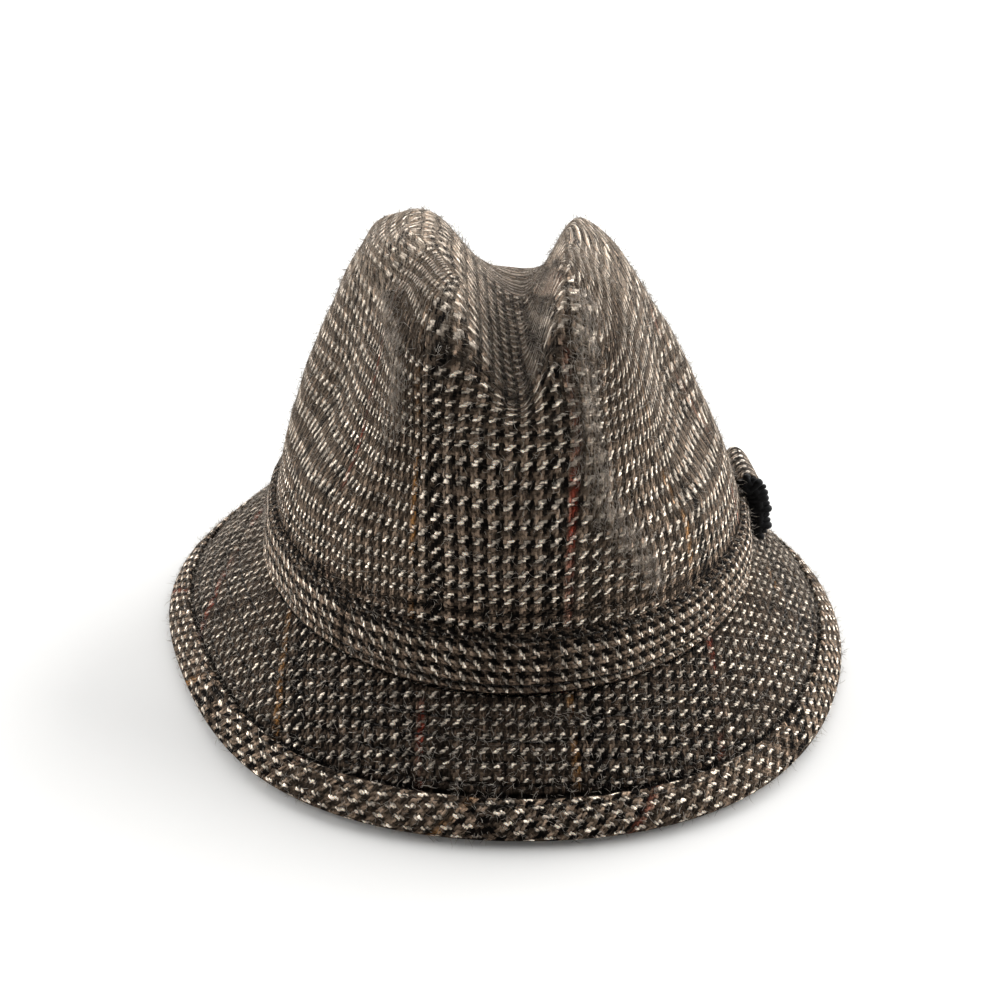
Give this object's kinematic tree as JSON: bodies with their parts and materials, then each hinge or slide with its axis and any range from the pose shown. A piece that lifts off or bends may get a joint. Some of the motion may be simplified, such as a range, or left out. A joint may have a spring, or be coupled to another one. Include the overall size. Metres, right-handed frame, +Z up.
{
  "type": "fedora",
  "caption": "Soft wool tweed fedora with a centre-dent crown, self-fabric band with a side loop, and a turned-down stitched brim with a bound edge.",
  "frame": {"origin": "middle of the hat's box, on the surface that the brim's bound edge rests on", "axes": "+Z up; -Y is the front of the hat; +X is the wearer's left, the side with the band loop"},
  "size_m": [0.2478, 0.2758, 0.14],
  "materials": {
    "crown_tweed": "grey-brown wool tweed, two-and-two twill in a houndstooth and check, cream-grey and near-black yarns, brushed",
    "band_tweed": "the same tweed turned a quarter turn, edge-stitched",
    "black_yarn": "thick black wool overcasting",
    "brim_tweed": "the same tweed, double, with rows of dark topstitching",
    "binding_tweed": "the same tweed cut on the bias and folded round the edge"
  },
  "bodies": {
    "root": {"crown": "crown_tweed", "hat_band": "band_tweed", "band_loop": "band_tweed", "loop_edging": "black_yarn", "brim": "brim_tweed", "brim_binding": "binding_tweed"}
  },
  "joints": []
}
